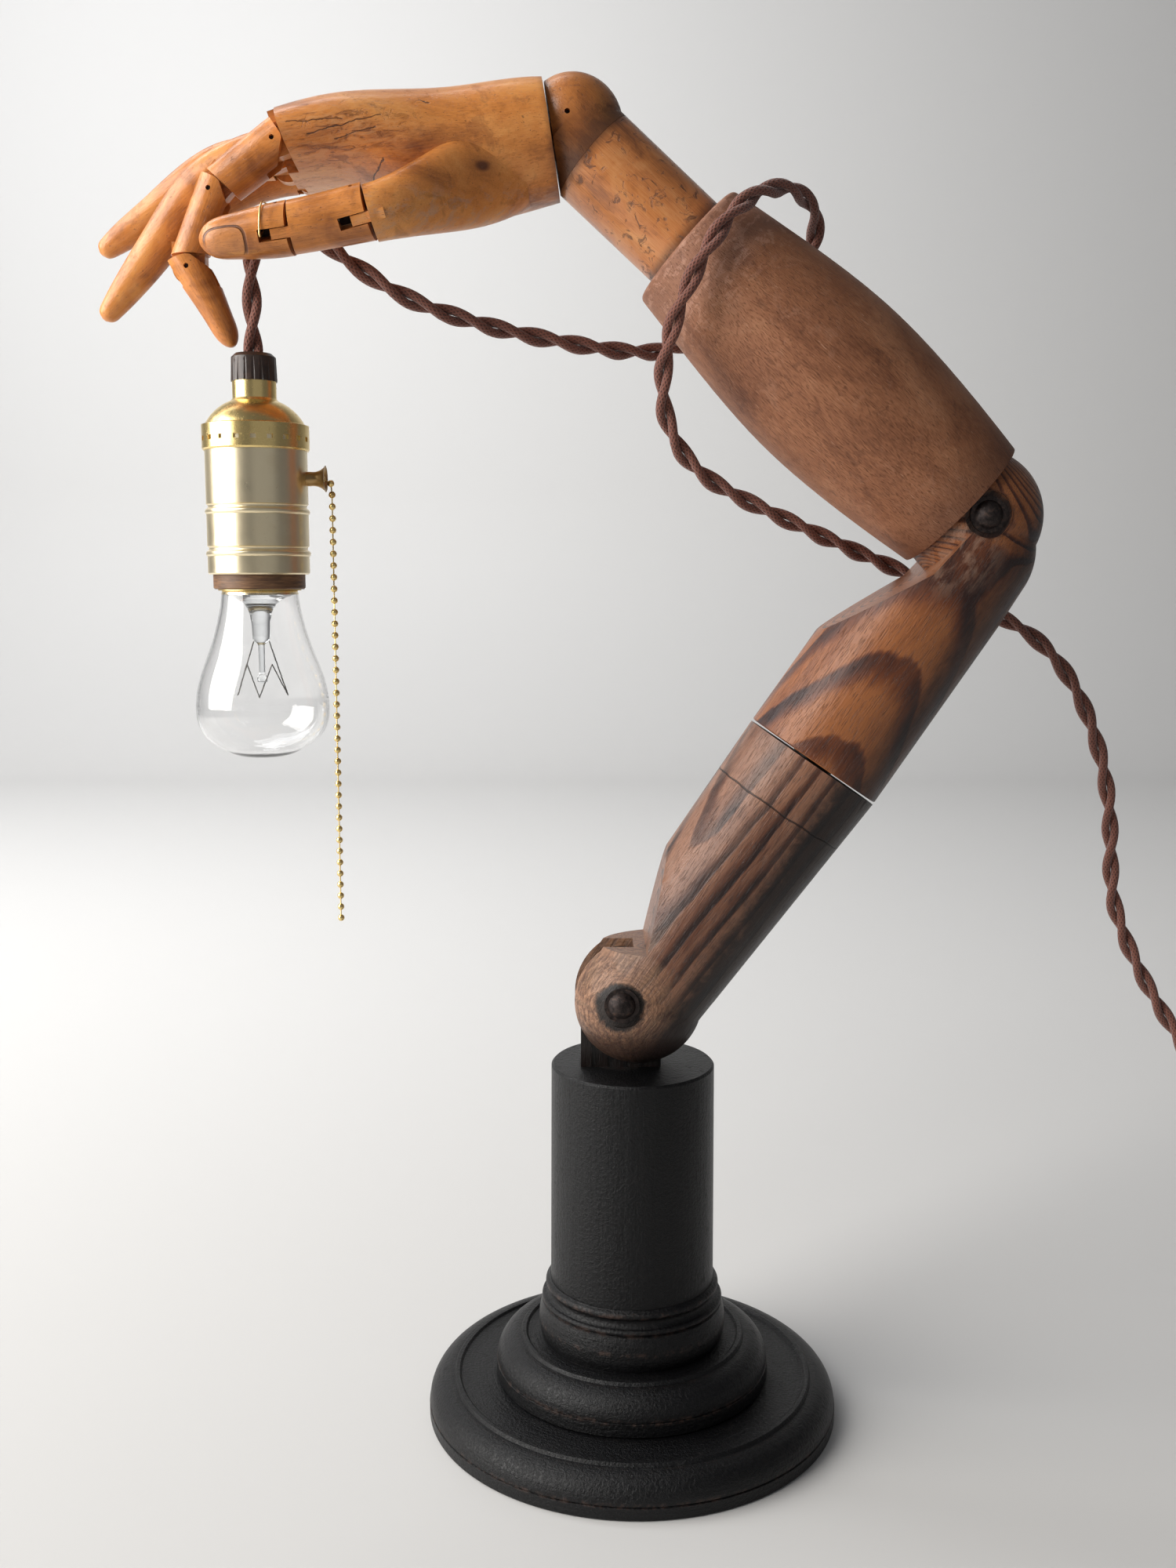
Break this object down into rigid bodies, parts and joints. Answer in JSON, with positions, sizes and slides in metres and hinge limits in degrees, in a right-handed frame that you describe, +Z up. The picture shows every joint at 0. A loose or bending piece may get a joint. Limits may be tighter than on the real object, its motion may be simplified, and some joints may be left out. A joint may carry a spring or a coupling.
{
  "type": "table lamp",
  "caption": "Table lamp made from a jointed wooden mannequin arm and hand on a turned black column; the hand holds a bare bulb in a brass pull-chain socket on a twisted cloth cord.",
  "frame": {"origin": "centre of the underside of the round base, on the column's axis", "axes": "+Z up along the column; +X from the hand towards the elbow; +Y away from the thumb's side"},
  "size_m": [0.5216, 0.1516, 0.4774],
  "materials": {
    "black_wood": "satin black paint",
    "arm_wood": "stained, waxed",
    "sleeve_wood": "stained, waxed",
    "shaft_wood": "waxed",
    "hand_wood": "polished",
    "bolt_steel": "blackened",
    "pin_steel": "rusted",
    "brass": "polished",
    "brown_insulator": "ribbed",
    "bulb_glass": "clear",
    "stem_glass": "clear",
    "filament_wire": "wire",
    "cord_cloth": "braided cloth, twisted pair",
    "plug_plastic": "moulded"
  },
  "bodies": {
    "base": {"base_disc": "black_wood", "base_step": "black_wood", "column": "black_wood", "shoulder_tongue": "arm_wood", "cord_tail": "cord_cloth", "cord_coil": "cord_cloth", "plug_body": "plug_plastic", "plug_blades": "brass"},
    "lower_arm": {"lower_arm": "arm_wood", "shoulder_bolt": "bolt_steel", "shoulder_nut": "bolt_steel", "arm_dowel": "arm_wood", "cord_lean": "cord_cloth"},
    "upper_arm": {"upper_arm": "arm_wood", "elbow_bolt": "bolt_steel", "elbow_nut": "bolt_steel", "cord_turn": "cord_cloth", "cord_elbow": "cord_cloth"},
    "forearm": {"forearm": "sleeve_wood", "elbow_tongue": "sleeve_wood", "cord_wrap": "cord_cloth"},
    "wrist": {"wrist_shaft": "shaft_wood", "wrist_knuckle": "hand_wood", "wrist_pin": "pin_steel", "cord_wrist": "cord_cloth"},
    "hand": {"palm": "hand_wood", "cord_palm": "cord_cloth"},
    "index_proximal": {"index_proximal": "hand_wood", "index_knuckle_pin": "pin_steel"},
    "index_middle": {"index_middle": "hand_wood", "index_middle_pin": "pin_steel"},
    "index_distal": {"index_distal": "hand_wood", "index_tip_pin": "pin_steel"},
    "middle_finger": {"middle_finger": "hand_wood", "middle_knuckle_pin": "pin_steel"},
    "ring_finger": {"ring_finger": "hand_wood", "ring_knuckle_pin": "pin_steel"},
    "little_finger": {"little_finger": "hand_wood", "little_knuckle_pin": "pin_steel"},
    "thumb_proximal": {"thumb_proximal": "hand_wood", "thumb_base_pin": "pin_steel", "cord_thumb": "cord_cloth"},
    "thumb_distal": {"thumb_distal": "hand_wood", "thumb_middle_pin": "pin_steel", "thumb_wire": "brass", "cord_hold": "cord_cloth"},
    "lamp": {"cord_drop": "cord_cloth", "cord_grip": "brown_insulator", "socket_cap": "brass", "socket_shell": "brass", "socket_rim": "brown_insulator", "socket_screw": "brass", "switch_body": "brown_insulator", "chain_guide": "brass", "chain_lead": "brass", "bulb_cap": "brass", "bulb_glass": "bulb_glass", "bulb_stem": "stem_glass", "filament": "filament_wire"},
    "pull_chain": {"pull_chain": "brass"}
  },
  "joints": [
    {"name": "shoulder_hinge", "type": "hinge", "parent": "base", "child": "lower_arm", "pos_m": [-0.0045, 0, 0.16], "axis": [0, 1, 0], "range_deg": [-15, 15], "deforming": ["cord_lean"]},
    {"name": "arm_swivel", "type": "hinge", "parent": "lower_arm", "child": "upper_arm", "pos_m": [0.0639, 0, 0.2437], "axis": [0.565, 0, 0.8251], "range_deg": [-20, 20], "deforming": ["cord_turn"]},
    {"name": "elbow_hinge", "type": "hinge", "parent": "upper_arm", "child": "forearm", "pos_m": [0.1182, 0, 0.3298], "axis": [0, 1, 0], "range_deg": [-10, 25], "deforming": ["cord_elbow"]},
    {"name": "wrist_swivel", "type": "hinge", "parent": "forearm", "child": "wrist", "pos_m": [0.01739, 0, 0.42153], "axis": [-0.7396, 0, 0.673], "range_deg": [-20, 20], "deforming": ["cord_wrist"]},
    {"name": "hand_swivel", "type": "hinge", "parent": "wrist", "child": "hand", "pos_m": [-0.0284, 0, 0.4557], "axis": [-0.988, 0, -0.1547], "range_deg": [-15, 15], "deforming": ["cord_palm"]},
    {"name": "index_knuckle", "type": "hinge", "parent": "hand", "child": "index_proximal", "pos_m": [-0.1183, -0.0215, 0.4493], "axis": [0, 1, 0], "range_deg": [0, 12]},
    {"name": "index_middle_joint", "type": "hinge", "parent": "index_proximal", "child": "index_middle", "pos_m": [-0.1393, -0.0215, 0.4338], "axis": [0, 1, 0], "range_deg": [0, 14]},
    {"name": "index_tip_joint", "type": "hinge", "parent": "index_middle", "child": "index_distal", "pos_m": [-0.1473, -0.0215, 0.4095], "axis": [0, 1, 0], "range_deg": [0, 14]},
    {"name": "middle_knuckle", "type": "hinge", "parent": "hand", "child": "middle_finger", "pos_m": [-0.1218, -0.0069, 0.449], "axis": [0, 1, 0], "range_deg": [-12, 12]},
    {"name": "ring_knuckle", "type": "hinge", "parent": "hand", "child": "ring_finger", "pos_m": [-0.1195, 0.0077, 0.449], "axis": [0, 1, 0], "range_deg": [-12, 12]},
    {"name": "little_knuckle", "type": "hinge", "parent": "hand", "child": "little_finger", "pos_m": [-0.1145, 0.0223, 0.449], "axis": [0, 1, 0], "range_deg": [-12, 12]},
    {"name": "thumb_base_joint", "type": "hinge", "parent": "hand", "child": "thumb_proximal", "pos_m": [-0.0892, -0.036, 0.4236], "axis": [-0.2422, -0.4226, 0.8733], "range_deg": [-1, 5], "deforming": ["cord_thumb"]},
    {"name": "thumb_tip_joint", "type": "hinge", "parent": "thumb_proximal", "child": "thumb_distal", "pos_m": [-0.1143, -0.036, 0.4194], "axis": [-0.1261, -0.4226, 0.8975], "range_deg": [-1, 5]},
    {"name": "lamp_swing", "type": "hinge", "parent": "thumb_distal", "child": "lamp", "pos_m": [-0.127, -0.0236, 0.408], "axis": [0, 1, 0], "range_deg": [-12, 3], "deforming": ["cord_drop"]},
    {"name": "pull_chain_slide", "type": "slide", "parent": "lamp", "child": "pull_chain", "axis": [0, 0, -1], "range_m": [0, 0.004], "stiffness_N_per_m": 600, "springref_m": -0.001, "deforming": ["chain_lead"]}
  ]
}
